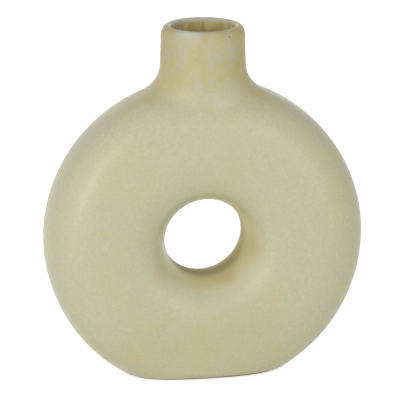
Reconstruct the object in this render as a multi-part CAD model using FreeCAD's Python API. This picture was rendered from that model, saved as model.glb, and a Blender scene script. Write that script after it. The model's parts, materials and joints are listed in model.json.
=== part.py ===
import FreeCAD, Part
import math
import os
from FreeCAD import Vector

# A donut vase in glazed stoneware: a hollow ring that stands on a flat foot, with a
# short round neck on top and a round hole through the middle.
#
# It is made up as a potter luts one together: two moulded half rings that meet at
# the parting plane, a thrown neck collar with a bevelled foot that drops into a bevelled
# hole, and a flat oval slab that closes the cut foot. Fired slip fills each joint. One
# coat of glaze covers the outside down to the glaze line, and a liner glaze makes the
# inside watertight.
#
# Millimetres. X runs across the ring, Y through the hole with the front at -Y, Z up.
# The origin is on the table, under the middle of the foot.

# Overall sizes
ring_diameter = 181.0
ring_depth = 59.0
hole_diameter = 45.2
foot_length = 88.0
neck_height = 30.7

# Section of the ring: a superellipse. 2 would be an ellipse, more is squarer.
section_fullness = 2.58
section_points = 24

# Thickness of each material
clay_wall = 4.6
glaze_thickness = 0.4
slip_thickness = 0.6

# Foot
foot_slab_thickness = 6.0
foot_edge_radius = 7.6
foot_recess_depth = 1.0
foot_rim_width = 9.0
glaze_line_height = 2.0

# Neck
mouth_radius = 17.7
neck_wall = 5.8
lip_crest_share = 0.34
lip_crown_share = 0.76
lip_depth = 6.2
neck_taper_deg = 1.6
neck_foot_share = 0.97
neck_blend_radius = 18.0
bore_blend_radius = 8.0

# Bevelled joint between the collar and the ring
collar_shoulder = 4.5
collar_bevel_deg = 20.0

# How far a cutting tool runs past what it cuts
overrun = 5.0

# Worked out from the sizes above: the ring, which is cut where its flat is foot_length long
ring_radius = ring_diameter / 2
hole_radius = hole_diameter / 2
half_depth = ring_depth / 2
section_radius = (ring_radius + hole_radius) / 2
section_half_width = (ring_radius - hole_radius) / 2
ring_centre_height = math.sqrt(ring_radius ** 2 - (foot_length / 2) ** 2)
ring_top_height = ring_centre_height + ring_radius
overall_height = ring_top_height + neck_height

# How far each surface lies inside the glazed outside
clay_outside = glaze_thickness
clay_inside = clay_outside + clay_wall
liner_face = clay_inside + glaze_thickness

# The lip's two sides share out the neck's wall and meet at the crest. Inside it is a round.
# Outside it is an upright oval, lip_depth tall: a crown arc, then a flatter side arc from lip_turn
lip_inner_radius = neck_wall * lip_crest_share
lip_outer_width = neck_wall - lip_inner_radius
crest_radius = mouth_radius + lip_inner_radius
lip_crown_radius = lip_outer_width * lip_crown_share
lip_turn = 2 * math.atan((lip_outer_width - lip_crown_radius) / (lip_depth - lip_crown_radius))
lip_side_radius = lip_crown_radius + (lip_depth - lip_crown_radius) / math.sin(lip_turn)
crown_centre = (crest_radius, overall_height - lip_crown_radius)
side_centre = (crest_radius + lip_outer_width - lip_side_radius, overall_height - lip_depth)

# The neck starts on the middle line of the ring's section and passes through its top. Its hidden
# foot stays within neck_foot_share of the ring's half depth
neck_foot_height = ring_centre_height + section_radius
taper = math.radians(neck_taper_deg)
neck_spread = (side_centre[1] - ring_top_height) * math.tan(taper)
neck_base_radius = side_centre[0] + lip_side_radius / math.cos(taper) + neck_spread

# The collar's joint is a cone round the neck, set by its size at the ring's top
bevel = math.radians(collar_bevel_deg)
collar_joint_radius = neck_base_radius + collar_shoulder

axis_up = Vector(0, 0, 1)
axis_through = Vector(0, 1, 0)
origin = Vector(0, 0, 0)
full_turn = 360
half_turn = full_turn / 2


def only_solid(shape):
    """The one solid that a boolean leaves inside its compound."""
    solids = shape.Solids
    if len(solids) != 1:
        raise ValueError(f"expected one solid, found {len(solids)}")
    return solids[0]


def superellipse(half_width, half_height, middle):
    """Closed superellipse about (middle, 0), as a wire of an outer and an inner half."""
    power = 2 / section_fullness
    points = []
    for i in range(section_points):
        turn = 2 * math.pi * i / section_points - math.pi / 2
        u = math.copysign(abs(math.cos(turn)) ** power, math.cos(turn)) * half_width
        v = math.copysign(abs(math.sin(turn)) ** power, math.sin(turn)) * half_height
        points.append(Vector(middle + u, v, 0))
    curve = Part.BSplineCurve()
    curve.interpolate(Points=points, PeriodicFlag=True)
    back = curve.parameter(points[section_points // 2])
    halves = [(curve.FirstParameter, back), (back, curve.LastParameter)]
    return Part.Wire([curve.toShape(first, last) for first, last in halves])


def ring_form(inset, floor_height):
    """The ring as a full solid, its surface inset all round, cut flat at floor_height."""
    section = superellipse(section_half_width - inset, half_depth - inset, section_radius)
    face = Part.Face(section)
    upper = face.revolve(origin, axis_through, -half_turn)
    lower = face.revolve(origin, axis_through, half_turn)
    ring = only_solid(upper.fuse(lower))
    ring.translate(Vector(0, 0, ring_centre_height))
    side = ring_diameter + overrun
    above = Part.makeBox(side, side, side, Vector(-side / 2, -side / 2, floor_height))
    return only_solid(ring.common(above))


def turned(outline):
    """Solid of revolution about Z from a closed outline of edges in the XZ plane."""
    return Part.Face(Part.Wire(outline)).revolve(origin, axis_up, full_turn)


def line(start, end):
    """Straight outline edge between two (radius, height) points."""
    return Part.makeLine(Vector(start[0], 0, start[1]), Vector(end[0], 0, end[1]))


def arc(centre, radius, first, last):
    """Outline arc about centre = (radius, height) between two angles in radians."""
    def at(angle):
        return Vector(centre[0] + radius * math.cos(angle), 0, centre[1] + radius * math.sin(angle))
    return Part.Arc(at(first), at((first + last) / 2), at(last)).toShape()


def neck_form(inset):
    """The neck's outside as a full solid: a slight cone that ends in the lip's side and crown arcs."""
    side_radius = lip_side_radius - inset
    edge_radius = side_centre[0] + side_radius * math.cos(taper)
    edge_height = side_centre[1] + side_radius * math.sin(taper)
    lip_edge = (edge_radius, edge_height)
    spread = (edge_height - neck_foot_height) * math.tan(taper)
    foot_radius = min(edge_radius + spread, half_depth * neck_foot_share - inset)
    crest = (crest_radius, overall_height - inset)
    return turned([
        line((0, neck_foot_height), (foot_radius, neck_foot_height)),
        line((foot_radius, neck_foot_height), lip_edge),
        arc(side_centre, side_radius, taper, lip_turn),
        arc(crown_centre, lip_crown_radius - inset, lip_turn, math.pi / 2),
        line(crest, (0, crest[1])),
        line((0, crest[1]), (0, neck_foot_height)),
    ])


def bore_form(coat):
    """The neck's bore as a full solid, wider by coat, that flares out at the inner lip arc."""
    radius = mouth_radius + coat
    flare_centre = (crest_radius, overall_height - lip_inner_radius)
    top = overall_height - coat
    above = overall_height + overrun
    return turned([
        line((0, neck_foot_height), (radius, neck_foot_height)),
        line((radius, neck_foot_height), (radius, flare_centre[1])),
        arc(flare_centre, lip_inner_radius - coat, math.pi, math.pi / 2),
        line((crest_radius, top), (crest_radius, above)),
        line((crest_radius, above), (0, above)),
        line((0, above), (0, neck_foot_height)),
    ])


def junction_edges(body):
    """The edges where the neck leaves the ring, above the section's middle line."""
    found = []
    for edge in body.Edges:
        box = edge.BoundBox
        level = box.ZMin > neck_foot_height and box.ZMax < ring_top_height
        if level and box.YLength > mouth_radius / 2 and box.XLength > mouth_radius:
            found.append(edge)
    return found


def joined(ring, neck, blend):
    """Ring and neck as one solid, with the corner between them rounded."""
    body = only_solid(ring.fuse(neck))
    return only_solid(body.makeFillet(blend, junction_edges(body)))


def envelope(inset):
    """The vase's outside as a full solid, inset all round but standing on the table."""
    ring = ring_form(inset, 0)
    foot_edges = [edge for edge in ring.Edges if edge.BoundBox.ZMax < foot_edge_radius]
    ring = only_solid(ring.makeFillet(foot_edge_radius - inset, foot_edges))
    return joined(ring, neck_form(inset), neck_blend_radius + inset)


def cavity(inset, coat, floor_height):
    """The space inside as a full solid, its walls inset from the glazed outside."""
    blend = bore_blend_radius + inset - clay_inside
    return joined(ring_form(inset, floor_height), bore_form(coat), blend)


def joint_cone(growth):
    """Solid inside the collar's bevelled joint, grown outwards by growth."""
    slope = math.tan(bevel)
    grown = collar_joint_radius + growth / math.cos(bevel)
    low = neck_foot_height
    high = overall_height + overrun
    low_radius = grown - (ring_top_height - low) * slope
    high_radius = grown + (high - ring_top_height) * slope
    return Part.makeCone(low_radius, high_radius, high - low, Vector(0, 0, low), axis_up)


def slab_between(low, high):
    """Box as wide as the vase between two heights."""
    side = ring_diameter + overrun
    return Part.makeBox(side, side, high - low, Vector(-side / 2, -side / 2, low))


def sheet_between(near, far):
    """Box as wide and as tall as the vase between two Y values."""
    side = ring_diameter + overrun
    height = overall_height + 2 * overrun
    return Part.makeBox(side, far - near, height, Vector(-side / 2, near, -overrun))


def foot_recess():
    """Shallow hollow under the foot slab that leaves a flat rim to stand on."""
    half_length = foot_length / 2 - foot_rim_width
    from_middle = (ring_centre_height - section_radius) / section_half_width
    share = (1 - from_middle ** section_fullness) ** (1 / section_fullness)
    half_breadth = half_depth * share - foot_rim_width
    oval = Part.Ellipse(origin, half_length, half_breadth).toShape()
    face = Part.Face(Part.Wire([oval]))
    recess = face.extrude(axis_up * (foot_recess_depth + overrun))
    recess.translate(axis_up * -overrun)
    return recess


def seam_slip(shell):
    """The slip between the half rings: a flat washer as wide as the wall."""
    return shell.common(sheet_between(-slip_thickness / 2, slip_thickness / 2))


def build():
    """All the pieces, as a dictionary of node name to shape."""
    clay_cavity = cavity(clay_inside, glaze_thickness, foot_slab_thickness)
    glazed_cavity = cavity(liner_face, 0, foot_slab_thickness + glaze_thickness)
    clay_envelope = envelope(clay_outside)
    shell = only_solid(clay_envelope.cut(clay_cavity))

    # Foot: slab, slip above it, then the ring
    joint_height = foot_slab_thickness + slip_thickness
    foot_slab = only_solid(shell.common(slab_between(-overrun, foot_slab_thickness)).cut(foot_recess()))
    foot_slip = shell.common(slab_between(foot_slab_thickness, joint_height))
    above_foot = shell.common(slab_between(joint_height, overall_height + overrun))

    # Neck: collar, slip round it, then the ring with its bevelled hole
    inner_cone = joint_cone(-slip_thickness / 2)
    outer_cone = joint_cone(slip_thickness / 2)
    neck_collar = only_solid(above_foot.common(inner_cone))
    neck_slip = above_foot.common(outer_cone).cut(inner_cone)
    hoop = above_foot.cut(outer_cone)

    # Ring: two half rings with slip between them
    half_gap = slip_thickness / 2
    ring_front = only_solid(hoop.common(sheet_between(-ring_depth, -half_gap)))
    ring_back = only_solid(hoop.common(sheet_between(half_gap, ring_depth)))

    # Glaze: the outer coat stops above the table, the liner covers the whole inside
    mouth = Part.makeCylinder(crest_radius, overall_height, Vector(0, 0, ring_top_height), axis_up)
    outer_glaze = envelope(0).cut(clay_envelope).cut(mouth)
    outer_glaze = outer_glaze.common(slab_between(glaze_line_height, overall_height + overrun))
    liner_glaze = clay_cavity.cut(glazed_cavity).common(slab_between(0, overall_height))

    return {
        "ring_front_half": ring_front,
        "ring_back_half": ring_back,
        "neck_collar": neck_collar,
        "foot_slab": foot_slab,
        "ring_seam_slip": seam_slip(hoop),
        "neck_joint_slip": only_solid(neck_slip),
        "foot_joint_slip": only_solid(foot_slip),
        "outer_glaze": only_solid(outer_glaze),
        "liner_glaze": only_solid(liner_glaze),
    }


def main():
    """Builds each piece, prints what it measures and writes its STEP file."""
    os.makedirs("parts", exist_ok=True)
    for name, shape in build().items():
        state = "valid" if shape.isValid() else "not valid"
        print(f"{name}: {len(shape.Solids)} solid, {shape.Volume:.0f} mm3, {state}")
        shape.exportStep(os.path.join("parts", name + ".step"))


main()
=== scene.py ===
"""A donut vase in speckled satin glaze: a hollow stoneware ring on a flat foot, with a short neck."""
import bpy
import json
import math
import numpy as np
from collections import namedtuple
from bpy.props import FloatProperty, FloatVectorProperty, PointerProperty
from mathutils import Matrix, Vector


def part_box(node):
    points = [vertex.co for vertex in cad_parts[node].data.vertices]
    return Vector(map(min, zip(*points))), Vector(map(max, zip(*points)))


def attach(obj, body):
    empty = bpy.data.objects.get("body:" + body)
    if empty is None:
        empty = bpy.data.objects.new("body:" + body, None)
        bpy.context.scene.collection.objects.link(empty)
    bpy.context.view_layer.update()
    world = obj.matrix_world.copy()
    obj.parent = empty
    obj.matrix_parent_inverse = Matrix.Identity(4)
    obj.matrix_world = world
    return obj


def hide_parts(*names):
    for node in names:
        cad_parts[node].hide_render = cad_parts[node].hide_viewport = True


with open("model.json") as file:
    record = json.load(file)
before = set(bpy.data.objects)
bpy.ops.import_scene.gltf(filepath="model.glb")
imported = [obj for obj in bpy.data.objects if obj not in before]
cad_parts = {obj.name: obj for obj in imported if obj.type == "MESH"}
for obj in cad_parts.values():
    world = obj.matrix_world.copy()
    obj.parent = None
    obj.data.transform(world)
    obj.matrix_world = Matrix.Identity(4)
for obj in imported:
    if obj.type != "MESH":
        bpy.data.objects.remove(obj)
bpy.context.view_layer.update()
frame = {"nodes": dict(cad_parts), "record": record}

bl_info = {
    "name": "Donut Vase",
    "version": (1, 0, 0),
    "blender": (4, 5, 0),
    "location": "3D View > Sidebar > Vase",
    "description": "Glazes a stoneware ring vase and sets it in a soft studio",
    "category": "Add Mesh",
}

# All lengths are in metres, in the CAD's own frame: X across the ring, Y through the hole with
# the front at -Y, Z up from the table
MM = 0.001
FULL_TURN = 2 * math.pi
UP = np.array([0.0, 0.0, 1.0])

glaze_low, glaze_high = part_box("outer_glaze")
clay_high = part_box("ring_front_half")[1]
liner_low, liner_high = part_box("liner_glaze")
mouth = next(mount for mount in frame["record"]["mounts"] if mount["name"] == "mouth")


def glaze_colour(red, green, blue):
    """A screen colour of 0 to 255 as the linear colour that a shader takes."""
    levels = np.array([red, green, blue]) / 255
    linear = np.where(levels <= 0.04045, levels / 12.92, ((levels + 0.055) / 1.055) ** 2.4)
    return tuple(float(level) for level in linear)


def length_value(name, description, default):
    """A property that holds a length in metres."""
    return FloatProperty(name=name, description=description, default=default, unit="LENGTH", precision=5)


def colour_value(name, description, default):
    """A property that holds a colour."""
    return FloatVectorProperty(name=name, description=description, default=default, subtype="COLOR", size=3,
                               min=0, max=1)


class VaseSizes(bpy.types.PropertyGroup):
    """The form's sizes. What the pieces already measure comes from the frame."""

    ring_radius: length_value("Ring radius", "Outside radius of the ring", glaze_high.x)
    hole_radius: length_value("Hole radius", "Radius of the hole at its narrowest", 22.6 * MM)
    half_depth: length_value("Half depth", "Half the ring's size from front to back", glaze_high.y)
    foot_length: length_value("Foot length", "Length of the flat that the ring is cut to", 88 * MM)
    foot_edge: length_value("Foot edge", "Radius of the rounding round the foot", 7.6 * MM)
    height: length_value("Height", "Height of the lip's crest", glaze_high.z)
    fullness: FloatProperty(
        name="Fullness", description="Section exponent: 2 is an ellipse, more is squarer", default=2.58)
    mouth_radius: length_value("Mouth radius", "Radius of the glazed bore", mouth["dims"]["r_mm"] * MM)
    lip_inner: length_value("Inner lip", "Radius of the lip's inner half", 1.972 * MM)
    lip_outer: length_value("Outer lip", "Width of the lip's outer half", 3.828 * MM)
    lip_crown: length_value("Lip crown", "Radius of the outer half's crown", 2.909 * MM)
    lip_depth: length_value("Lip depth", "How far the outer half curves down from the crest", 6.2 * MM)
    neck_taper: FloatProperty(
        name="Neck taper", description="How much the neck widens downwards", default=math.radians(1.6),
        subtype="ANGLE")
    neck_blend: length_value("Neck blend", "Radius of the hollow where the neck leaves the ring", 18 * MM)
    bore_blend: length_value("Bore blend", "Radius of the same corner inside, at the clay", 8 * MM)
    glaze: length_value("Glaze", "Thickness of each coat of glaze", glaze_high.x - clay_high.x)
    wall: length_value("Wall", "Depth of the inside clay face under the outside", glaze_high.x - liner_high.x)
    floor: length_value("Floor", "Height of the clay floor inside", liner_low.z)
    floor_edge: length_value("Floor edge", "Radius of the glaze pooled round the floor", 3 * MM)
    glaze_line: length_value("Glaze line", "Height at which the outer coat was wiped off", glaze_low.z)

    def hole_height(self):
        """Height of the ring's middle: the flat is a chord of the ring's outside."""
        return math.sqrt(self.ring_radius ** 2 - (self.foot_length / 2) ** 2)


class VaseColours(bpy.types.PropertyGroup):
    """The colours of the glazes and the clay as they look in even light, some of them used for painted light
    and shade.
    """

    body: colour_value("Body", "The glaze on the ring", glaze_colour(202, 198, 165))
    cool: colour_value("Cool mottle", "Greener mottle in the body", glaze_colour(194, 195, 165))
    straw: colour_value("Straw mottle", "Yellower mottle in the body", glaze_colour(202, 195, 149))
    # The pale fleck's colour also paints a ring of light below the hole
    pale: colour_value("Pale fleck", "Paler flecks in the body", glaze_colour(213, 210, 183))
    # Painted light: the pale colour at the hole's sides and below it
    painted_light: colour_value("Thin glaze", "Thin pale glaze at the hole's sides", glaze_colour(230, 227, 201))
    # Also the colour of the painted highlight on the lip's front left
    frost_and_highlight: colour_value("Frost", "White bloom on the lip", glaze_colour(209, 209, 200))
    bloom: colour_value("Bloom", "Grey bloom on the neck", glaze_colour(192, 188, 170))
    neck: colour_value("Neck", "The second dip on the neck", glaze_colour(195, 187, 143))
    ochre: colour_value("Ochre", "Where the glaze broke to ochre", glaze_colour(192, 176, 110))
    # Partly real ochre round the hole, made paler as painted light against the shade there
    honey: colour_value("Honey", "Paler ochre round the hole", glaze_colour(208, 191, 114))
    # Painted shade: the dark olive inside the hole's narrowest part and at the lip's far left
    painted_shade: colour_value("Waist", "Dark olive where glaze pooled in the hole", glaze_colour(156, 145, 95))
    liner: colour_value("Liner", "The glaze inside", glaze_colour(222, 209, 150))
    liner_dark: colour_value("Liner streak", "Darker streaks inside", glaze_colour(197, 179, 112))
    clay: colour_value("Clay", "Bare fired clay", glaze_colour(176, 157, 120))
    grog: colour_value("Grog", "Dark grains in the clay", glaze_colour(112, 92, 68))
    slip: colour_value("Slip", "Fired slip in the joints", glaze_colour(160, 138, 104))


class VaseGlaze(bpy.types.PropertyGroup):
    """The glaze's pattern, gloss and relief."""

    fleck: length_value("Flecks", "Size of the paler flecks", 1.3 * MM)
    speckle: length_value("Speckle", "Size of the greener speckle", 2.2 * MM)
    patch: length_value("Patches", "Size of the patches that make the colours' edges ragged", 9 * MM)
    cloud: length_value("Clouds", "Size of the straw clouds", 26 * MM)
    roughness: FloatProperty(name="Roughness", description="Least roughness outside", default=0.32)
    gloss: FloatProperty(name="Gloss", description="Specular level outside", default=0.34)
    relief: length_value("Relief", "Height of the relief outside", 0.18 * MM)


class VaseStage(bpy.types.PropertyGroup):
    """The camera, the lamps and the floor."""

    azimuth: FloatProperty(
        name="Azimuth", description="Angle right of straight in front", default=math.radians(-9.862),
        subtype="ANGLE")
    elevation: FloatProperty(
        name="Elevation", description="Angle above level", default=math.radians(16.329), subtype="ANGLE")
    distance: length_value("Distance", "From the camera to its target", 1.4006)
    lens: FloatProperty(name="Lens", description="Focal length on a 36 mm sensor", default=223.64)
    fill: FloatProperty(name="Fill", description="Strength of the even light from all round", default=0.4)
    floor: colour_value("Floor", "The floor's colour", (0.85, 0.85, 0.85))
    lift: FloatProperty(
        name="Lift", description="Brightness added to the floor where it is seen", default=0.7)


def between(first, last, share):
    """Unit vectors a share of the way along the great arcs from first to last."""
    angle = np.arccos(np.clip((first * last).sum(-1, keepdims=True), -1, 1))
    return (np.sin((1 - share) * angle) * first + np.sin(share * angle) * last) / np.sin(angle)


def band(first, second):
    """Faces between two closed rows of point numbers, facing out if the first row turns left round them."""
    return np.stack([first, np.roll(first, -1), np.roll(second, -1), second], 1)


class Skin:
    """The vase's surface, or one at a depth under it: a grid on the ring and rows of points that lead off it.

    The ring is swept round the hole's axis: sweep is 0 at the neck and half a turn at the foot. Its section
    is a superellipse, and turn goes round it: 0 is the outermost line. A ball of the blend's radius rolled
    along the corner between ring and neck touches both, and the hollow is the part of the ball between the
    two contacts. A ball rolled inside along the foot's corner gives the rounding there in the same way.
    The inside has its own corners: a straight bore, a smaller blend and a flat floor.
    """

    # Where the neck and the foot stand in the grid, as shares of its sweeps, and half the size of the
    # rectangle that is cut out of it for each, as shares of its sweeps and turns
    neck_at, foot_at = 0.25, 0.75
    neck_cut_shares = (0.0875, 0.208)
    foot_cut_shares = (0.106, 0.217)
    halvings = 48

    def __init__(self, sizes, depth, inside=False, sweeps=320, turns=120):
        self.fullness = sizes.fullness
        self.half_width = (sizes.ring_radius - sizes.hole_radius) / 2 - depth
        self.half_depth = sizes.half_depth - depth
        self.middle = (sizes.ring_radius + sizes.hole_radius) / 2
        self.centre = sizes.hole_height()
        self.sweeps, self.turns = sweeps, turns
        crest = sizes.mouth_radius + sizes.lip_inner
        if inside:
            past_clay = depth - sizes.wall
            self.taper = 0.0
            self.blend = sizes.bore_blend + past_clay
            lip_radius = sizes.lip_inner - (sizes.glaze - past_clay)
            self.lip_arcs = [((crest, sizes.height - sizes.lip_inner), lip_radius, math.pi, math.pi / 2)]
            self.floor = sizes.floor + past_clay
            self.edge = sizes.floor_edge
        else:
            self.taper = sizes.neck_taper
            self.blend = sizes.neck_blend + depth
            crown = sizes.lip_crown
            meeting = 2 * math.atan((sizes.lip_outer - crown) / (sizes.lip_depth - crown))
            side = crown + (sizes.lip_depth - crown) / math.sin(meeting)
            side_centre = (crest + sizes.lip_outer - side, sizes.height - sizes.lip_depth)
            self.lip_arcs = [(side_centre, side - depth, self.taper, meeting),
                             ((crest, sizes.height - crown), crown - depth, meeting, math.pi / 2)]
            self.floor = 0.0
            self.edge = sizes.foot_edge - depth
        centre, radius, first, _ = self.lip_arcs[0]
        self.lip_start = (centre[0] + radius * math.cos(first), centre[1] + radius * math.sin(first))

    def on_ring(self, sweep, turn):
        """Points and outward normals. The section's radius is ((|cos|/a)^n + (|sin|/b)^n)^(-1/n), and its
        normal follows the gradient of (|out|/a)^n + (|along|/b)^n."""
        n, a, b = self.fullness, self.half_width, self.half_depth
        radius = ((np.abs(np.cos(turn)) / a) ** n + (np.abs(np.sin(turn)) / b) ** n) ** (-1 / n)
        out, along = radius * np.cos(turn), radius * np.sin(turn)
        slope_out = np.sign(out) * np.abs(out) ** (n - 1) / a ** n
        slope_along = np.sign(along) * np.abs(along) ** (n - 1) / b ** n
        steep = np.hypot(slope_out, slope_along)
        slope_out, slope_along = slope_out / steep, slope_along / steep
        ring_radius = self.middle + out
        points = np.stack([ring_radius * np.sin(sweep), along, self.centre + ring_radius * np.cos(sweep)], -1)
        normals = np.stack([slope_out * np.sin(sweep), slope_along, slope_out * np.cos(sweep)], -1)
        return points, normals

    def neck_gap(self, points, normals):
        """How far the ball that touches the ring at each point stays clear of the neck's cone."""
        ball = points + self.blend * normals
        cone_radius = self.lip_start[0] + (self.lip_start[1] - ball[:, 2]) * math.tan(self.taper)
        return (np.hypot(ball[:, 0], ball[:, 1]) - cone_radius) * math.cos(self.taper) - self.blend

    def foot_gap(self, points, normals):
        """How far the ball that touches the ring from inside stays above the foot's plane."""
        return points[:, 2] - self.edge * normals[:, 2] - self.floor - self.edge

    def spokes(self, cut_at, cut_shares, gap):
        """Finds by halving where the gap closes on each line from a cut-out rectangle's rim to its middle.
        Gives the rim's numbers in the grid, and the (sweep, turn) of the rim and of the contact."""
        cut = round(cut_at * self.sweeps)
        half_across, half_along = self.half_cut(cut_shares)
        across = np.arange(-half_across, half_across)
        along = np.arange(-half_along, half_along)
        steps = np.concatenate([
            np.stack([np.full(along.shape, half_across), along], 1),
            np.stack([-across, np.full(across.shape, half_along)], 1),
            np.stack([np.full(along.shape, -half_across), -along], 1),
            np.stack([across, np.full(across.shape, -half_along)], 1),
        ])
        middle = np.array([FULL_TURN * (cut / self.sweeps - self.neck_at), 0.0])
        rim = middle + steps * [FULL_TURN / self.sweeps, FULL_TURN / self.turns]
        near, far = np.zeros((len(rim), 1)), np.ones((len(rim), 1))
        for _ in range(self.halvings):
            share = (near + far) / 2
            spot = middle + share * (rim - middle)
            clear = gap(*self.on_ring(spot[:, 0], spot[:, 1]))[:, None] > 0
            far = np.where(clear, share, far)
            near = np.where(clear, near, share)
        touch = middle + far * (rim - middle)
        return self.place(cut + steps[:, 0], self.turns // 2 + steps[:, 1]), rim, touch

    def half_cut(self, cut_shares):
        """Half the size of a cut-out rectangle, in cells of the grid."""
        return round(cut_shares[0] * self.sweeps), round(cut_shares[1] * self.turns)

    def place(self, across, along):
        """Number of a point in the ring's grid."""
        return (across % self.sweeps) * self.turns + along % self.turns

    def grid(self):
        """The ring as a grid of points, with a face on each cell outside the two cut-out rectangles."""
        sweep = FULL_TURN * (np.arange(self.sweeps) / self.sweeps - self.neck_at)
        turn = FULL_TURN * (np.arange(self.turns) / self.turns - 0.5)
        points, _ = self.on_ring(*np.meshgrid(sweep, turn, indexing="ij"))
        across, along = np.meshgrid(np.arange(self.sweeps), np.arange(self.turns), indexing="ij")
        cells = np.stack([self.place(across, along), self.place(across + 1, along),
                          self.place(across + 1, along + 1), self.place(across, along + 1)], -1)
        keep = np.ones(across.shape, bool)
        cuts = ((self.neck_at, self.neck_cut_shares), (self.foot_at, self.foot_cut_shares))
        for cut_at, cut_shares in cuts:
            half_across, half_along = self.half_cut(cut_shares)
            beside = np.abs(across + 0.5 - round(cut_at * self.sweeps)) < half_across
            keep &= ~(beside & (np.abs(along + 0.5 - self.turns // 2) < half_along))
        return points.reshape(-1, 3), cells[keep]

    def neck_rows(self, ring_rows=8, hollow_rows=14, wall_rows=16, lip_rows=16):
        """Rows from the rim of the neck's rectangle to the crest: ring, hollow, cone and the lip's arcs."""
        rim_numbers, rim, touch = self.spokes(self.neck_at, self.neck_cut_shares, self.neck_gap)
        rows = []
        for share in np.linspace(0, 1, ring_rows + 1)[1:]:
            spot = rim + share * (touch - rim)
            points, normals = self.on_ring(spot[:, 0], spot[:, 1])
            rows.append(points)
        ball = points + self.blend * normals
        angle = np.arctan2(ball[:, 1], ball[:, 0])
        out = np.stack([np.cos(angle), np.sin(angle), np.zeros_like(angle)], 1)
        cone_normals = out * math.cos(self.taper) + UP * math.sin(self.taper)
        for share in np.linspace(0, 1, hollow_rows + 1)[1:]:
            rows.append(ball - self.blend * between(normals, cone_normals, share))
        foot = rows[-1]
        lip_start = out * self.lip_start[0] + UP * self.lip_start[1]
        rows += [foot + share * (lip_start - foot) for share in np.linspace(0, 1, wall_rows + 1)[1:]]
        for centre, radius, first, last in self.lip_arcs:
            for turn in np.linspace(first, last, lip_rows // len(self.lip_arcs) + 1)[1:]:
                height = centre[1] + radius * math.sin(turn)
                rows.append(out * (centre[0] + radius * math.cos(turn)) + UP * height)
        return rim_numbers, rows

    def foot_rows(self, stop=None, edge_rows=16, floor_rows=24):
        """Rows from the rim of the foot's rectangle down the ring and round the foot's edge. They end at the
        height that stop gives for each point, or else go on over the floor to its middle. Down to the edge's
        end they are shared out evenly over each line's own way on the ring and round the edge."""
        def gap(points, normals):
            above = self.foot_gap(points, normals)
            return above if stop is None else np.minimum(above, points[:, 2] - stop(points))

        rim_numbers, rim, touch = self.spokes(self.foot_at, self.foot_cut_shares, gap)
        start, _ = self.on_ring(rim[:, 0], rim[:, 1])
        contact, normals = self.on_ring(touch[:, 0], touch[:, 1])
        ball = contact - self.edge * normals
        level = np.hypot(normals[:, 0], normals[:, 1])
        out = normals * [1, 1, 0] / level[:, None]
        first = np.arctan2(-normals[:, 2], level)
        last = np.full(len(first), math.pi / 2)
        if stop is not None:
            last = np.maximum(first, np.arcsin(np.clip((ball[:, 2] - stop(contact)) / self.edge, -1, 1)))
        ring_way = np.linalg.norm(contact - start, axis=1)
        edge_way = self.edge * (last - first)
        rows = []
        for share in np.linspace(0, 1, edge_rows + 1)[1:]:
            way = share * (ring_way + edge_way)
            spot = rim + np.minimum(way / ring_way, 1)[:, None] * (touch - rim)
            points, _ = self.on_ring(spot[:, 0], spot[:, 1])
            dip = (first + np.clip(way - ring_way, 0, None) / self.edge)[:, None]
            rounded = ball + self.edge * (out * np.cos(dip) - UP * np.sin(dip))
            rows.append(np.where((way > ring_way)[:, None], rounded, points))
        if stop is None:
            rim_of_floor = rows[-1]
            middle = rim_of_floor.mean(0)
            shares = np.linspace(1, 0, floor_rows + 1)[1:-1]
            rows += [middle + share * (rim_of_floor - middle) for share in shares]
        return rim_numbers, rows

    def surface(self, stop=None):
        """The whole skin: its points, its four-sided faces, and the numbers of the points along the crest and
        along the last row at the foot."""
        points, faces = self.grid()
        count = len(points)
        blocks, bands, ends = [points], [faces], []
        for loop, rows in (self.neck_rows(), self.foot_rows(stop)):
            for row in rows:
                numbers = count + np.arange(len(row))
                bands.append(band(loop, numbers))
                blocks.append(row)
                loop, count = numbers, count + len(row)
            ends.append(loop)
        points, faces = np.concatenate(blocks), np.concatenate(bands)
        used, renumbered = np.unique(faces, return_inverse=True)
        ends = [np.searchsorted(used, end) for end in ends]
        return points[used], renumbered.reshape(faces.shape), ends[0], ends[1]


def outward(points, faces):
    """Unit normal at each point: the sum of its faces' normals, each the cross product of the diagonals."""
    corners = points[faces]
    crossed = np.cross(corners[:, 2] - corners[:, 0], corners[:, 3] - corners[:, 1])
    normals = np.zeros_like(points)
    for corner in faces.T:
        np.add.at(normals, corner, crossed)
    return normals / np.linalg.norm(normals, axis=1, keepdims=True)


def ripple(points, waves):
    """Sum of sines along the waves, each (x, y, z, phase, height) with x, y and z in cycles per metre."""
    total = np.zeros(len(points))
    for *cycles, phase, height in waves:
        total += height * np.sin(FULL_TURN * (points @ np.array(cycles)) + phase)
    return total


def smooth_step(value, low, high):
    """0 below low, 1 above high and a smooth S between them."""
    share = np.clip((value - low) / (high - low), 0, 1)
    return share * share * (3 - 2 * share)


class Tone:
    """A socket in a recipe, so that a pattern can be written as sums: 1 - 0.4 * speckle."""

    def __init__(self, recipe, socket):
        self.recipe, self.socket = recipe, socket

    def _math(self, operation, *values):
        return self.recipe.node("ShaderNodeMath", {"operation": operation}, dict(enumerate(values)))

    def beside(self, name):
        """Another output of the same node."""
        return Tone(self.recipe, self.socket.node.outputs[name])

    def __add__(self, other):
        return self._math("ADD", self, other)

    def __sub__(self, other):
        return self._math("SUBTRACT", self, other)

    def __rsub__(self, other):
        return self._math("SUBTRACT", other, self)

    def __mul__(self, other):
        return self._math("MULTIPLY", self, other)

    def __abs__(self):
        return self._math("ABSOLUTE", self)

    __radd__ = __add__
    __rmul__ = __mul__


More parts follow.
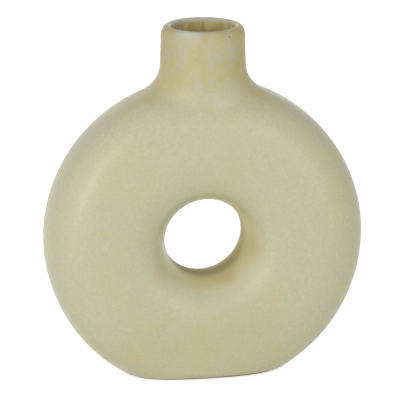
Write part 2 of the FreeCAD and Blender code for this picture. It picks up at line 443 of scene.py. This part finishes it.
class Recipe:
    """The node tree of a glaze, a clay, the floor or the air, with the patterns that they share."""

    def __init__(self, holder):
        holder.use_nodes = True
        self.holder, self.tree = holder, holder.node_tree
        self.tree.nodes.clear()
        self.place = self.node("ShaderNodeTexCoord", output="Object")
        self.x = self.node("ShaderNodeSeparateXYZ", inputs={0: self.place})
        self.y, self.z = self.x.beside("Y"), self.x.beside("Z")

    def node(self, kind, settings=None, inputs=None, output=0):
        """Adds a node: its settings, then a value or link on each socket. Gives one output, if it has any."""
        made = self.tree.nodes.new(kind)
        for name, value in (settings or {}).items():
            setattr(made, name, value)
        for name, value in (inputs or {}).items():
            if isinstance(value, Tone):
                self.tree.links.new(value.socket, made.inputs[name])
            else:
                made.inputs[name].default_value = value
        return Tone(self, made.outputs[output]) if made.outputs else None

    def noise(self, size, detail=2.0, shift=(0, 0, 0), stretch=(1, 1, 1)):
        """Cloudy noise of 0 to 1 whose blotches are about size across, moved by shift and stretched."""
        scale = tuple(1 / share for share in stretch)
        moved = {"Vector": self.place, "Location": shift, "Scale": scale}
        where = self.node("ShaderNodeMapping", inputs=moved)
        return self.node("ShaderNodeTexNoise", inputs={"Vector": where, "Scale": 1 / size, "Detail": detail})

    def step(self, value, low, high):
        """0 below low, 1 above high and a smooth S between them."""
        return self.node("ShaderNodeMapRange", {"interpolation_type": "SMOOTHSTEP"},
                         {"Value": value, "From Min": low, "From Max": high})

    def blotch(self, centre, near, far):
        """1 within near of a point and 0 past far."""
        ends = {0: self.place, 1: centre}
        away = self.node("ShaderNodeVectorMath", {"operation": "DISTANCE"}, ends, "Value")
        return 1 - self.step(away, near, far)

    def mix(self, first, second, share):
        """Colour first turned into second by share."""
        first, second = (value if isinstance(value, Tone) else (*value, 1) for value in (first, second))
        return self.node("ShaderNodeMix", {"data_type": "RGBA"}, {0: share, 6: first, 7: second}, output=2)

    def finish(self, colour, roughness, relief, depth, **constants):
        """Joins the parts in one shader. relief is a height of 0 to 1, and depth says what 1 stands for."""
        normal = self.node("ShaderNodeBump", inputs={"Height": relief, "Distance": depth, "Strength": 1.0})
        inputs = {"Base Color": colour, "Roughness": roughness, "Normal": normal}
        inputs.update({name.replace("_", " "): value for name, value in constants.items()})
        shader = self.node("ShaderNodeBsdfPrincipled", inputs=inputs)
        self.node("ShaderNodeOutputMaterial", inputs={"Surface": shader})
        return self.holder

    def seen(self):
        """1 for what the camera sees, also in a reflection or through glass, and 0 for what lights others."""
        camera = self.node("ShaderNodeLightPath", output="Is Camera Ray")
        return camera + camera.beside("Is Glossy Ray") + camera.beside("Is Transmission Ray")


def at_mm(x, y, z):
    """A place given in millimetres."""
    return x * MM, y * MM, z * MM


# Marks on the front: where the glaze broke to ochre, each with its size and its strength, a painted
# # highlight on the lip's left and the pinhole at its right
OCHRE_MARKS = (
    (at_mm(-27.7, -23.2, 63.6), 9 * MM, 0.35),
    (at_mm(10.5, -13.5, 56.5), 9 * MM, 0.35),
    (at_mm(24.0, -14.0, 76.0), 12 * MM, 0.4),
    (at_mm(-34.0, -29.0, 25.0), 34 * MM, 0.15),
    (at_mm(14.0, -29.0, 25.0), 40 * MM, 0.2),
)
LIP_PAINTED_HIGHLIGHT = at_mm(-11.5, -18.0, 199.5)
PINHOLE = at_mm(11.2, -20.0, 197.2)


class GlazeRecipe(Recipe):
    """The olive glaze, whose colours all follow the same four noises: fleck, speckle, patch and cloud."""

    def __init__(self, name, scene):
        super().__init__(bpy.data.materials.new(name))
        self.sizes, self.colours = scene.vase_sizes, scene.vase_colours
        self.hole_radius, self.crest = self.sizes.hole_radius, self.sizes.height
        self.fleck = self.noise(scene.vase_glaze.fleck, 1.0, (0.2, 0.8, 0.5))
        self.speckle = self.noise(scene.vase_glaze.speckle, 3.0)
        self.patch = self.noise(scene.vase_glaze.patch, 3.0, (0.9, 0.4, 0.2))
        self.cloud = self.noise(scene.vase_glaze.cloud, 3.0, (0.3, 0.1, 0.7))
        self.above_hole = self.z - self.sizes.hole_height()
        spoke = self.node("ShaderNodeCombineXYZ", inputs={0: self.x, 2: self.above_hole})
        self.out_of_hole = self.node("ShaderNodeVectorMath", {"operation": "LENGTH"}, {0: spoke}, "Value")
        # Painted shade inside the hole, strongest at its narrow lower half
        self.painted_shade = self.darkened()
        ragged = self.z + 8 * MM * self.patch + 20 * MM * self.cloud - 14 * MM
        self.dip = self.step(ragged, 152 * MM, 184 * MM)
        self.high = self.step(self.z, self.crest - 24 * MM, self.crest - 10 * MM)
        self.right = self.step(self.x, 6 * MM, 20 * MM)

    def darkened(self):
        """1 at the narrowest line of the hole's lower half, less at the right and little elsewhere in the
        hole: the mask of the painted shade inside the hole."""
        narrow = 1 - self.step(self.out_of_hole, self.hole_radius, self.hole_radius + 4 * MM)
        middle = 1 - self.step(abs(self.y), 0, 15 * MM)
        less_shaded = self.step(self.above_hole, -22 * MM, 0) * (1 - 0.5 * self.step(self.x, 0, 16 * MM))
        return narrow * middle * (1 - 0.85 * less_shaded)

    def outside(self):
        """The body's colour, and over it the neck's second dip, with a soft ragged edge on the shoulders."""
        return self.mix(self.marked(self.hole(self.body())), self.lip(self.neck()), self.dip)

    def body(self):
        """Mottled olive: greener speckle, straw clouds and paler flecks."""
        straw = self.step(0.6 * self.cloud + 0.4 * self.patch, 0.4, 0.66)
        colour = self.mix(self.colours.body, self.colours.cool, self.step(self.speckle, 0.42, 0.68))
        colour = self.mix(colour, self.colours.straw, 0.7 * straw)
        return self.mix(colour, self.colours.pale, 0.35 * self.step(self.fleck, 0.5, 0.68))

    def hole(self, colour):
        """The glaze round the hole. Painted light makes it pale at the hole's sides and below it, and in a
        ring further out at the lower side; honey lies all round but at the left, partly real ochre and partly
        painted light; and painted shade makes it dark in the hole."""
        ragged = self.out_of_hole + 5 * MM * self.patch
        near = 1 - self.step(ragged, self.hole_radius + 2 * MM, self.hole_radius + 11 * MM)
        top = self.step(self.above_hole, 0, 20 * MM)
        past_left = self.step(self.x - 0.15 * self.above_hole, -24 * MM, -8 * MM)
        painted_light_ring = self.step(self.out_of_hole, self.hole_radius + 1 * MM, self.hole_radius + 5 * MM)
        away = self.step(self.out_of_hole, self.hole_radius + 11 * MM, self.hole_radius + 20 * MM)
        painted_light_ring = painted_light_ring * (1 - away) * (1 - self.step(self.above_hole, -24 * MM, -4 * MM))
        # Painted light at the hole's sides and below it
        colour = self.mix(colour, self.colours.painted_light, near * (1 - top))
        # Honey: partly a real ochre tint, partly painted light
        colour = self.mix(colour, self.colours.honey, 0.65 * near * past_left)
        # A painted ring of light further out below the hole
        colour = self.mix(colour, self.colours.pale, 0.4 * painted_light_ring)
        # Painted shade: dark olive in the hole
        return self.mix(colour, self.colours.painted_shade, 0.8 * self.painted_shade)

    def marked(self, colour):
        """Ochre marks on the front."""
        for centre, size, strength in OCHRE_MARKS:
            colour = self.mix(colour, self.colours.ochre, strength * self.blotch(centre, 0.2 * size, size))
        return colour

    def neck(self):
        """The second dip. It broke to ochre in clouds and drops, at the sides and in fine specks, and has a
        grey bloom, more at the top left and less at the right. The ochre at the sides is partly painted shade
        at the neck's edges, and the bloom's lean to the top left is partly a painted highlight."""
        drops = self.noise(6 * MM, 3.0, (0.5, 0.5, 0.1), (1, 1, 1.8))
        specks = self.noise(3.2 * MM, 3.0, (0.8, 0.2, 0.4))
        broken = (
            0.6 * self.step(0.3 * drops + 0.7 * self.cloud, 0.36, 0.66),
            # Ochre at the sides: partly real, partly painted shade at the neck's edges
            0.45 * self.step(abs(self.x), 10 * MM, 22 * MM),
            0.35 * self.step(specks, 0.46, 0.66),
        )
        colour = self.colours.neck
        for share in broken:
            colour = self.mix(colour, self.colours.ochre, share)
        # More bloom at the top left and less at the right: partly real bloom, partly a painted highlight
        bloom = self.noise(5.5 * MM, 3.0, (0.1, 0.3, 0.9)) + 0.1 * self.high * (1 - self.right)
        bloom_and_highlight = (0.6 - 0.35 * self.right) * self.step(bloom, 0.44, 0.72)
        colour = self.mix(colour, self.colours.bloom, bloom_and_highlight)
        return self.mix(colour, self.colours.cool, 0.25 * self.step(self.fleck, 0.5, 0.7))

    def lip(self, colour):
        """The top of the neck: more ochre on the lip at the right, painted shade at the far left, pale on the
        lip at the back, and a painted highlight on the lip at the front left."""
        lip = self.step(self.z, self.crest - 5 * MM, self.crest - 1 * MM)
        far_left = 1 - self.step(self.x, -24 * MM, -16 * MM)
        back = self.step(self.y, -4 * MM, 8 * MM)
        colour = self.mix(colour, self.colours.ochre, 0.45 * self.right * lip)
        # Painted shade at the lip's far left
        colour = self.mix(colour, self.colours.painted_shade, 0.15 * far_left * self.high)
        colour = self.mix(colour, self.colours.frost_and_highlight, 0.5 * back * lip)
        # Painted highlight on the lip's front left
        return self.mix(colour, self.colours.frost_and_highlight, 0.7 * lip * self.blotch(LIP_PAINTED_HIGHLIGHT, 2 * MM, 10 * MM))


def outer_material(scene):
    """The satin glaze outside, with a fine orange peel. It is rougher where shade is painted in the hole and
    on the second dip, and has one pinhole with a pale rim near the lip."""
    recipe = GlazeRecipe("olive_glaze", scene)
    colours, glaze = scene.vase_colours, scene.vase_glaze
    pit = recipe.blotch(PINHOLE, 0.3 * MM, 1.1 * MM)
    rim = recipe.blotch(PINHOLE, 0.8 * MM, 2.2 * MM)
    colour = recipe.mix(recipe.outside(), colours.frost_and_highlight, 0.35 * rim)
    colour = recipe.mix(colour, colours.grog, 0.6 * pit)
    peel = recipe.noise(5 * MM, 2.0, (0.6, 0.2, 0.3))
    relief = 0.5 * peel + 0.3 * recipe.speckle + 0.2 * recipe.fleck - 0.6 * pit
    roughness = glaze.roughness + 0.12 * recipe.speckle + 0.4 * recipe.painted_shade + 0.15 * recipe.dip
    return recipe.finish(colour, roughness, relief, glaze.relief, IOR=1.5, Specular_IOR_Level=glaze.gloss)


def liner_material(scene):
    """The glaze inside: the outer one's colour on the lip and some way down, furthest at the left, then olive
    with streaks that ran down the wall. The extra reach at the left is painted light."""
    recipe = GlazeRecipe("liner_glaze_olive", scene)
    colours = scene.vase_colours
    streak = recipe.noise(5 * MM, 3.0, (0.4, 0.7, 0.6), (1, 1, 4))
    inside = recipe.mix(colours.liner, colours.liner_dark, recipe.step(streak, 0.45, 0.65))
    past_left = recipe.step(recipe.x, -16 * MM, -4 * MM)
    # Painted light: the outer colour reaches further down inside at the left
    depth = recipe.crest - recipe.z + 2 * MM * streak + 4 * MM * past_left
    colour = recipe.mix(recipe.outside(), inside, recipe.step(depth, 6 * MM, 9 * MM))
    relief = 0.6 * streak + 0.4 * recipe.fleck
    return recipe.finish(colour, 0.3 + 0.15 * recipe.speckle, relief, 0.2 * MM, IOR=1.5)


def clay_material(name, base, grog, grain):
    """Bare fired clay: a sandy base with dark grains of grog and fine open pores."""
    recipe = Recipe(bpy.data.materials.new(name))
    sand = recipe.noise(grain, 4.0)
    cloud = recipe.noise(18 * MM, 2.0, (0.2, 0.6, 0.4))
    grains = recipe.step(recipe.noise(0.9 * MM, 2.0, (0.7, 0.1, 0.5)), 0.63, 0.7)
    toned = recipe.mix(base, grog, 0.35 * sand + 0.25 * cloud)
    colour = recipe.mix(toned, grog, 0.7 * grains)
    return recipe.finish(colour, 0.78 + 0.15 * sand, sand - 0.5 * grains, 0.3 * MM, IOR=1.45)


def floor_material(colour, lift):
    """The studio floor: a pale matte board with a faint grain, lifted towards white where it is seen."""
    recipe = Recipe(bpy.data.materials.new("studio_floor"))
    grain = recipe.noise(40 * MM, 3.0)
    tone = recipe.mix(colour, tuple(0.97 * level for level in colour), grain)
    glow = recipe.mix((0.0, 0.0, 0.0), (lift, lift, lift), recipe.seen())
    roughness = 0.8 + 0.1 * grain
    return recipe.finish(tone, roughness, grain, 0.05 * MM, Emission_Color=glow, Emission_Strength=1.0)


def add_piece(name, points, faces, material, slot, *nodes):
    """A closed mesh that takes the place of nodes. Corners sharper than a coat's square edge stay crisp."""
    mesh = bpy.data.meshes.new(name)
    mesh.from_pydata(points.tolist(), [], faces.tolist())
    mesh.shade_smooth()
    mesh.set_sharp_from_angle(angle=math.radians(50))
    mesh.materials.append(material)
    piece = bpy.data.objects.new(name, mesh)
    bpy.context.scene.collection.objects.link(piece)
    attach(piece, "root")
    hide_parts(*nodes)
    return piece


class VASE_OT_outer_glaze(bpy.types.Operator):
    """Coats the outside from the lip's crest to the wiped line above the foot"""

    bl_idname = "vase.outer_glaze"
    bl_label = "Outer glaze"

    # Long waves over the whole coat and along the wiped line, for ripple
    coat_waves = ((8, 3, 5, 0.4, 0.45), (-6, 9, 11, 1.9, 0.3), (15, -7, -9, 4.1, 0.25))
    line_waves = ((12, 9, 0, 0.8, 0.5), (-31, 22, 0, 2.6, 0.3), (55, 48, 0, 5.0, 0.2))

    def execute(self, context):
        sizes = context.scene.vase_sizes

        def stop(points):
            return sizes.glaze_line + 0.3 * MM * (1 + ripple(points, self.line_waves))

        skins = []
        for depth in (0.0, sizes.glaze):
            points, faces, *ends = Skin(sizes, depth).surface(stop)
            skins.append((self.by_hand(points, faces, sizes), faces, *ends))
        points, faces = closed_coat(*skins, bead_rows=3)
        glaze = outer_material(context.scene)
        add_piece("outer_glaze_coat", points, faces, glaze, "outer_glaze", "outer_glaze")
        return {"FINISHED"}

    def by_hand(self, points, faces, sizes):
        """Moves the points up to 0.2 mm inwards along their normals in long waves, but not on the crest."""
        inwards = 0.1 * MM * (1 + ripple(points, self.coat_waves))
        inwards *= 1 - smooth_step(points[:, 2], sizes.height - 8 * MM, sizes.height - 1 * MM)
        return points - inwards[:, None] * outward(points, faces)


def closed_coat(face, back, bead_rows=0):
    """Joins two skins, each (points, faces, crest, foot), into one closed coat. face is the outer one, and
    back is turned over. Between their feet lies a bead: half a circle middle + half cos(t) - ahead sin(t),
    with bead_rows rows of points. With no bead, each foot is closed with faces across it."""
    points, faces, crest, foot = face
    back_points, back_faces, back_crest, back_foot = back
    count = len(points)
    blocks = [points, back_points]
    bands = [faces, back_faces[:, ::-1] + count, band(crest, back_crest + count)]
    if bead_rows:
        middle = (points[foot] + back_points[back_foot]) / 2
        half = points[foot] - middle
        ahead = np.cross(np.roll(middle, -1, 0) - middle, half)
        ahead *= np.linalg.norm(half, axis=1, keepdims=True) / np.linalg.norm(ahead, axis=1, keepdims=True)
        loop, count = foot, count + len(back_points)
        for turn in np.linspace(0, math.pi, bead_rows + 2)[1:-1]:
            blocks.append(middle + half * math.cos(turn) - ahead * math.sin(turn))
            numbers = count + np.arange(len(foot))
            bands.append(band(loop, numbers))
            loop, count = numbers, count + len(foot)
        bands.append(band(loop, back_foot + len(points)))
    else:
        bands += [across(foot), across(back_foot)[:, ::-1] + count]
    return np.concatenate(blocks), np.concatenate(bands)


def across(loop):
    """Faces across a flat closed row: one from each pair of neighbours to the pair opposite."""
    half = len(loop) // 2
    near, far = loop[:half], loop[:half - 1:-1]
    return np.stack([near[:-1], near[1:], far[1:], far[:-1]], 1)


class VASE_OT_liner_glaze(bpy.types.Operator):
    """Lines the inside from the lip's crest down the bore and round the hollow ring"""

    bl_idname = "vase.liner_glaze"
    bl_label = "Liner glaze"

    def execute(self, context):
        sizes = context.scene.vase_sizes
        skins = []
        for depth in (sizes.wall, sizes.wall + sizes.glaze):
            points, faces, *ends = Skin(sizes, depth, inside=True, sweeps=160, turns=60).surface()
            skins.append((self.thrown(points, faces, sizes), faces, *ends))
        points, faces = closed_coat(*skins)
        glaze = liner_material(context.scene)
        add_piece("liner_glaze_coat", points, faces, glaze, "liner_glaze", "liner_glaze")
        return {"FINISHED"}

    def thrown(self, points, faces, sizes):
        """Raises the shallow spiral that the thrower's finger left in the neck, away from the clay."""
        turn = np.arctan2(points[:, 1], points[:, 0])
        spiral = 1 + np.sin(FULL_TURN * points[:, 2] / (3.4 * MM) + turn)
        top = 1 - smooth_step(points[:, 2], sizes.height - 8 * MM, sizes.height - 3 * MM)
        low = smooth_step(points[:, 2], 150 * MM, 160 * MM)
        return points - (0.07 * MM * spiral * top * low)[:, None] * outward(points, faces)


class VASE_OT_clay(bpy.types.Operator):
    """Gives the clay pieces and the slip in their joints a fired, unglazed surface"""

    bl_idname = "vase.clay"
    bl_label = "Clay and slip"

    def execute(self, context):
        colours = context.scene.vase_colours
        clay = clay_material("buff_stoneware", colours.clay, colours.grog, 1.2 * MM)
        slip = clay_material("fired_slip", colours.slip, colours.grog, 0.5 * MM)
        for part in frame["record"]["subparts"]:
            piece = frame["nodes"][part["node"]]
            if part["material_slot"] in ("stoneware", "slip"):
                piece.data.materials.clear()
                piece.data.materials.append(clay if part["material_slot"] == "stoneware" else slip)
        return {"FINISHED"}


# A rectangular lamp: where it stands as seen from the vase, in degrees right of the front and above level
# and in metres, its size in metres and its power
Softbox = namedtuple("Softbox", "azimuth elevation distance across up watts")


class VASE_OT_stage(bpy.types.Operator):
    """Sets the floor, the even light, the softboxes and the camera"""

    bl_idname = "vase.stage"
    bl_label = "Stage"

    # What the camera and the softboxes point at
    target = at_mm(-1.7, 0.0, 99.31)
    softboxes = {
        "left": Softbox(azimuth=-43, elevation=13, distance=1.3, across=0.3, up=0.8, watts=5.5),
        "right": Softbox(azimuth=30, elevation=8, distance=1.4, across=0.5, up=0.9, watts=5.2),
        "far_left": Softbox(azimuth=-85, elevation=20, distance=1.3, across=0.6, up=1.0, watts=1.3),
        "back": Softbox(azimuth=172, elevation=12, distance=1.4, across=1.0, up=1.0, watts=2.2),
    }
    floor_half = 3.0
    floor_thickness = 0.02

    def execute(self, context):
        stage = context.scene.vase_stage
        self.floor(stage)
        self.air(context.scene, stage)
        for name, box in self.softboxes.items():
            self.softbox(name, box)
        self.camera(context.scene, stage)
        context.scene.view_settings.view_transform = "Standard"
        return {"FINISHED"}

    def floor(self, stage):
        """A square floor round the vase, whose top is the table at height 0."""
        corners = self.floor_half * np.array([(-1, -1), (1, -1), (1, 1), (-1, 1)])
        top, under = (np.column_stack([corners, np.full(4, z)]) for z in (0.0, -self.floor_thickness))
        faces = [(0, 1, 2, 3), (7, 6, 5, 4), *band(np.arange(4, 8), np.arange(4)).tolist()]
        mesh = bpy.data.meshes.new("floor")
        mesh.from_pydata(np.concatenate([top, under]).tolist(), [], faces)
        mesh.materials.append(floor_material(tuple(stage.floor), stage.lift))
        board = bpy.data.objects.new("floor", mesh)
        bpy.context.scene.collection.objects.link(board)

    def air(self, scene, stage):
        """Even light from all round, and white where the camera or a reflection looks past the vase."""
        recipe = Recipe(bpy.data.worlds.new("studio"))
        strength = stage.fill + (1 - stage.fill) * recipe.seen()
        light = recipe.node("ShaderNodeBackground", inputs={"Color": (1, 1, 1, 1), "Strength": strength})
        recipe.node("ShaderNodeOutputWorld", inputs={"Surface": light})
        scene.world = recipe.holder

    def softbox(self, name, box):
        """A lamp that faces the middle of the vase."""
        lamp = bpy.data.lights.new("softbox_" + name, "AREA")
        lamp.shape, lamp.size, lamp.size_y, lamp.energy = "RECTANGLE", box.across, box.up, box.watts
        back = direction(math.radians(box.azimuth), math.radians(box.elevation))
        placed = bpy.data.objects.new(lamp.name, lamp)
        placed.matrix_world = facing(Vector(self.target) + box.distance * back, back)
        bpy.context.scene.collection.objects.link(placed)

    def camera(self, scene, stage):
        """The photograph's long lens and viewing angle."""
        lens = bpy.data.cameras.new("camera")
        lens.sensor_fit, lens.sensor_width, lens.lens = "HORIZONTAL", 36.0, stage.lens
        back = direction(stage.azimuth, stage.elevation)
        camera = bpy.data.objects.new("camera", lens)
        camera.matrix_world = facing(Vector(self.target) + stage.distance * back, back)
        scene.collection.objects.link(camera)
        scene.camera = camera


def direction(azimuth, elevation):
    """Unit vector from the vase towards an angle right of straight in front and an angle above level."""
    level = math.cos(elevation)
    return Vector((math.sin(azimuth) * level, -math.cos(azimuth) * level, math.sin(elevation)))


def facing(place, back):
    """Matrix of a lamp or camera at a place, held level and looking away from back."""
    right = Vector((-back.y, back.x, 0)).normalized()
    return Matrix.Translation(place) @ Matrix((right, back.cross(right), back)).transposed().to_4x4()


class VASE_PT_panel(bpy.types.Panel):
    """Lists the steps in the order that they are done"""

    bl_idname = "VASE_PT_panel"
    bl_label = "Donut vase"
    bl_space_type = "VIEW_3D"
    bl_region_type = "UI"
    bl_category = "Vase"

    def draw(self, context):
        for step in STEPS:
            self.layout.operator(step.bl_idname)


STEPS = (VASE_OT_outer_glaze, VASE_OT_liner_glaze, VASE_OT_clay, VASE_OT_stage)
GROUPS = {
    "vase_sizes": VaseSizes,
    "vase_colours": VaseColours,
    "vase_glaze": VaseGlaze,
    "vase_stage": VaseStage,
}


def register():
    for kind in (*GROUPS.values(), *STEPS, VASE_PT_panel):
        bpy.utils.register_class(kind)
    for name, kind in GROUPS.items():
        setattr(bpy.types.Scene, name, PointerProperty(type=kind))


def unregister():
    for name in GROUPS:
        delattr(bpy.types.Scene, name)
    for kind in reversed((*GROUPS.values(), *STEPS, VASE_PT_panel)):
        bpy.utils.unregister_class(kind)


def main():
    register()
    for step in STEPS:
        family, name = step.bl_idname.split(".")
        getattr(getattr(bpy.ops, family), name)()


if __name__ == "__main__":
    main()
